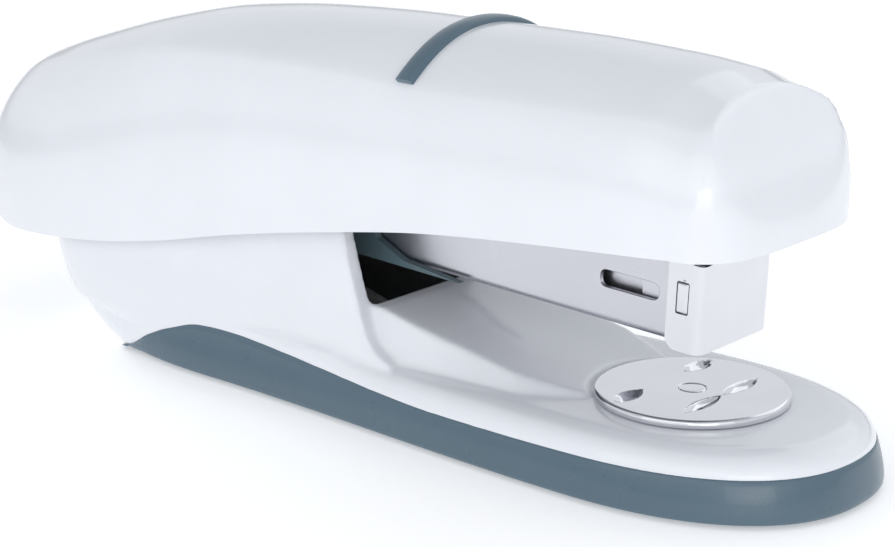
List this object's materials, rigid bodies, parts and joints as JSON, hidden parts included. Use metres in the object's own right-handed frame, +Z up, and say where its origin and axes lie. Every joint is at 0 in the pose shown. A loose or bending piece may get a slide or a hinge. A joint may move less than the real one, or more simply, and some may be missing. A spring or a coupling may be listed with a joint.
{
  "type": "desk stapler",
  "caption": "Manual desk stapler: white plastic cover and base, steel magazine with front-loading drawer, and a round clinching anvil.",
  "frame": {"origin": "on the table, under the middle of the whole stapler's box", "axes": "+X from the heel to the nose, +Y to the left side, +Z up"},
  "size_m": [0.1709, 0.0468, 0.0601],
  "materials": {
    "shell_white": "gloss moulded plastic",
    "trim_slate": "satin moulded plastic",
    "carrier_teal": "satin moulded plastic",
    "satin_nickel": "satin nickel plate",
    "bright_chrome": "bright nickel-chrome plate",
    "zinc_steel": "zinc-plated pressed steel",
    "spring_steel": "oiled spring steel",
    "bush_plastic": "black moulded plastic",
    "foot_rubber": "matt rubber"
  },
  "bodies": {
    "base": {"base_shell": "shell_white", "base_boot": "trim_slate", "rubber_feet": "foot_rubber", "base_screws": "zinc_steel", "chassis_bracket": "zinc_steel", "chassis_rivets": "zinc_steel", "hinge_pin": "zinc_steel", "pin_clips": "spring_steel", "return_spring": "spring_steel", "anvil_spring": "spring_steel"},
    "anvil_post": {"anvil_stem": "bush_plastic"},
    "anvil": {"anvil_plate": "bright_chrome", "anvil_rivet": "bright_chrome"},
    "magazine": {"magazine_carrier": "carrier_teal", "lever_pin": "zinc_steel", "handle_spring": "spring_steel", "lever_spring": "spring_steel"},
    "lever": {"release_lever": "carrier_teal"},
    "drawer": {"magazine_channel": "satin_nickel", "nose_plate": "bright_chrome", "nose_tabs": "bright_chrome", "staple_rail": "satin_nickel", "rail_rivets": "zinc_steel", "rod_bracket": "zinc_steel", "guide_rod": "spring_steel", "pusher_spring": "spring_steel"},
    "pusher": {"pusher": "satin_nickel"},
    "handle": {"handle_cover": "shell_white", "accent_strip": "trim_slate", "handle_arm": "zinc_steel", "handle_bushes": "bush_plastic", "cover_screws": "zinc_steel", "driver_leaf": "spring_steel", "leaf_rivets": "zinc_steel"},
    "driver": {"driver_blade": "spring_steel"}
  },
  "joints": [
    {"name": "magazine_close", "type": "hinge", "parent": "base", "child": "magazine", "pos_m": [-0.0525, 0, 0.036], "axis": [0, 1, 0], "range_deg": [0, 3.95], "stiffness_Nm_per_rad": 1, "springref_deg": -20.05, "deforming": ["return_spring"]},
    {"name": "handle_press", "type": "hinge", "parent": "magazine", "child": "handle", "pos_m": [-0.0525, 0, 0.036], "axis": [0, 1, 0], "range_deg": [0, 4.05], "stiffness_Nm_per_rad": 0.8, "springref_deg": -20.05, "deforming": ["handle_spring"]},
    {"name": "driver_stroke", "type": "slide", "parent": "magazine", "child": "driver", "axis": [-0.0436, 0, -0.999], "range_m": [0, 0.0081]},
    {"name": "drawer_slide", "type": "slide", "parent": "magazine", "child": "drawer", "axis": [-0.999, 0, 0.0436], "range_m": [-0.06, 0]},
    {"name": "pusher_travel", "type": "slide", "parent": "drawer", "child": "pusher", "axis": [-0.999, 0, 0.0436], "range_m": [0, 0.08], "stiffness_N_per_m": 15, "springref_m": -0.06, "deforming": ["pusher_spring"]},
    {"name": "anvil_lift", "type": "slide", "parent": "base", "child": "anvil_post", "axis": [0, 0, -1], "range_m": [-0.002, 0], "stiffness_N_per_m": 600, "springref_m": 0.003, "deforming": ["anvil_spring"]},
    {"name": "anvil_turn", "type": "hinge", "parent": "anvil_post", "child": "anvil", "pos_m": [0.0575, 0, 0.0112], "axis": [0, 0, 1], "continuous": true},
    {"name": "lever_tilt", "type": "hinge", "parent": "magazine", "child": "lever", "pos_m": [-0.05937, 0, 0.02779], "axis": [0, 1, 0], "range_deg": [0, 10], "stiffness_Nm_per_rad": 0.02, "springref_deg": -34.38, "deforming": ["lever_spring"]}
  ],
  "couplings": [
    {"joint": "driver_stroke", "follows": "handle_press", "m_per_rad": 0.1132}
  ]
}
